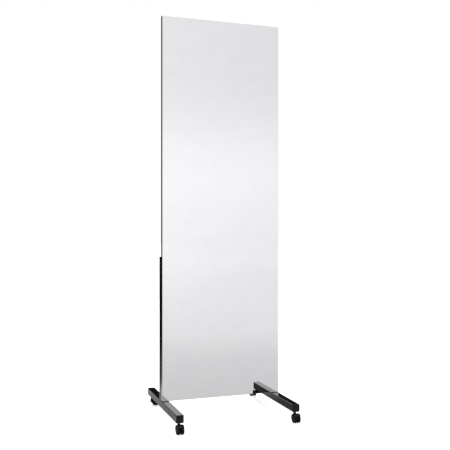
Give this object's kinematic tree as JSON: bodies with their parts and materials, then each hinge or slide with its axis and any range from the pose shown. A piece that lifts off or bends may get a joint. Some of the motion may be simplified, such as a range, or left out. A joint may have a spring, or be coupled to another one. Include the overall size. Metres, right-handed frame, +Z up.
{
  "type": "rolling mirror",
  "caption": "Tall full-length mirror panel bolted to two posts on square-tube feet with swivelling twin-wheel casters.",
  "frame": {"origin": "on the floor, midway between the two feet and midway along them", "axes": "+Z up; the mirror faces -Y; +X is to the right as seen by someone looking into the mirror"},
  "size_m": [0.6, 0.596, 1.928],
  "materials": {
    "mirror_film": "silvered polyester film, stretched and specular",
    "aluminium": "mill-finish extruded aluminium",
    "foam": "white rigid foam sheet",
    "black_board": "black fine-grained plastic sheet",
    "black_powder_coat": "black semi-gloss powder coat on steel tube",
    "cap_plastic": "black moulded polyethylene",
    "rubber_pad": "black rubber strip",
    "caster_nylon": "black moulded nylon, lightly textured",
    "wheel_nylon": "black moulded nylon, worn on the tread",
    "zinc_steel": "zinc-plated steel"
  },
  "bodies": {
    "mirror_stand": {"back_board": "black_board", "back_board_screws": "zinc_steel", "bottom_rail": "aluminium", "brace_brackets": "aluminium", "corner_keys": "aluminium", "foam_core": "foam", "front_left_caster_stem": "zinc_steel", "front_left_foot_cap": "cap_plastic", "front_right_caster_stem": "zinc_steel", "front_right_foot_cap": "cap_plastic", "left_foot": "black_powder_coat", "left_foot_bolts": "zinc_steel", "left_foot_weld_nuts": "zinc_steel", "left_mirror_bolts": "zinc_steel", "left_panel_pad": "rubber_pad", "left_post": "black_powder_coat", "left_post_cap": "cap_plastic", "left_post_nut_plate": "zinc_steel", "left_stile": "aluminium", "lower_brace": "aluminium", "mirror_bolt_washers": "zinc_steel", "mirror_film": "mirror_film", "rear_left_caster_stem": "zinc_steel", "rear_left_foot_cap": "cap_plastic", "rear_right_caster_stem": "zinc_steel", "rear_right_foot_cap": "cap_plastic", "right_foot": "black_powder_coat", "right_foot_bolts": "zinc_steel", "right_foot_weld_nuts": "zinc_steel", "right_mirror_bolts": "zinc_steel", "right_panel_pad": "rubber_pad", "right_post": "black_powder_coat", "right_post_cap": "cap_plastic", "right_post_nut_plate": "zinc_steel", "right_stile": "aluminium", "stile_rivet_nuts": "zinc_steel", "top_rail": "aluminium", "upper_brace": "aluminium"},
    "front_left_caster": {"front_left_caster_axle": "zinc_steel", "front_left_caster_housing": "caster_nylon"},
    "front_left_wheel_a": {"front_left_wheel_a": "wheel_nylon"},
    "front_left_wheel_b": {"front_left_wheel_b": "wheel_nylon"},
    "front_right_caster": {"front_right_caster_axle": "zinc_steel", "front_right_caster_housing": "caster_nylon"},
    "front_right_wheel_a": {"front_right_wheel_a": "wheel_nylon"},
    "front_right_wheel_b": {"front_right_wheel_b": "wheel_nylon"},
    "rear_left_caster": {"rear_left_caster_axle": "zinc_steel", "rear_left_caster_housing": "caster_nylon"},
    "rear_left_wheel_a": {"rear_left_wheel_a": "wheel_nylon"},
    "rear_left_wheel_b": {"rear_left_wheel_b": "wheel_nylon"},
    "rear_right_caster": {"rear_right_caster_axle": "zinc_steel", "rear_right_caster_housing": "caster_nylon"},
    "rear_right_wheel_a": {"rear_right_wheel_a": "wheel_nylon"},
    "rear_right_wheel_b": {"rear_right_wheel_b": "wheel_nylon"}
  },
  "joints": [
    {"name": "front_left_swivel", "type": "hinge", "parent": "mirror_stand", "child": "front_left_caster", "pos_m": [-0.2825, -0.261, 0.045], "axis": [0, 0, 1], "continuous": true},
    {"name": "front_left_wheel_a_spin", "type": "hinge", "parent": "front_left_caster", "child": "front_left_wheel_a", "pos_m": [-0.2825, -0.278, 0.02], "axis": [1, 0, 0], "continuous": true},
    {"name": "front_left_wheel_b_spin", "type": "hinge", "parent": "front_left_caster", "child": "front_left_wheel_b", "pos_m": [-0.2825, -0.278, 0.02], "axis": [1, 0, 0], "continuous": true},
    {"name": "front_right_swivel", "type": "hinge", "parent": "mirror_stand", "child": "front_right_caster", "pos_m": [0.2825, -0.261, 0.045], "axis": [0, 0, 1], "continuous": true},
    {"name": "front_right_wheel_a_spin", "type": "hinge", "parent": "front_right_caster", "child": "front_right_wheel_a", "pos_m": [0.2825, -0.278, 0.02], "axis": [1, 0, 0], "continuous": true},
    {"name": "front_right_wheel_b_spin", "type": "hinge", "parent": "front_right_caster", "child": "front_right_wheel_b", "pos_m": [0.2825, -0.278, 0.02], "axis": [1, 0, 0], "continuous": true},
    {"name": "rear_left_swivel", "type": "hinge", "parent": "mirror_stand", "child": "rear_left_caster", "pos_m": [-0.2825, 0.261, 0.045], "axis": [0, 0, 1], "continuous": true},
    {"name": "rear_left_wheel_a_spin", "type": "hinge", "parent": "rear_left_caster", "child": "rear_left_wheel_a", "pos_m": [-0.2655, 0.261, 0.02], "axis": [0, 1, 0], "continuous": true},
    {"name": "rear_left_wheel_b_spin", "type": "hinge", "parent": "rear_left_caster", "child": "rear_left_wheel_b", "pos_m": [-0.2655, 0.261, 0.02], "axis": [0, 1, 0], "continuous": true},
    {"name": "rear_right_swivel", "type": "hinge", "parent": "mirror_stand", "child": "rear_right_caster", "pos_m": [0.2825, 0.261, 0.045], "axis": [0, 0, 1], "continuous": true},
    {"name": "rear_right_wheel_a_spin", "type": "hinge", "parent": "rear_right_caster", "child": "rear_right_wheel_a", "pos_m": [0.2825, 0.278, 0.02], "axis": [1, 0, 0], "continuous": true},
    {"name": "rear_right_wheel_b_spin", "type": "hinge", "parent": "rear_right_caster", "child": "rear_right_wheel_b", "pos_m": [0.2825, 0.278, 0.02], "axis": [1, 0, 0], "continuous": true}
  ]
}
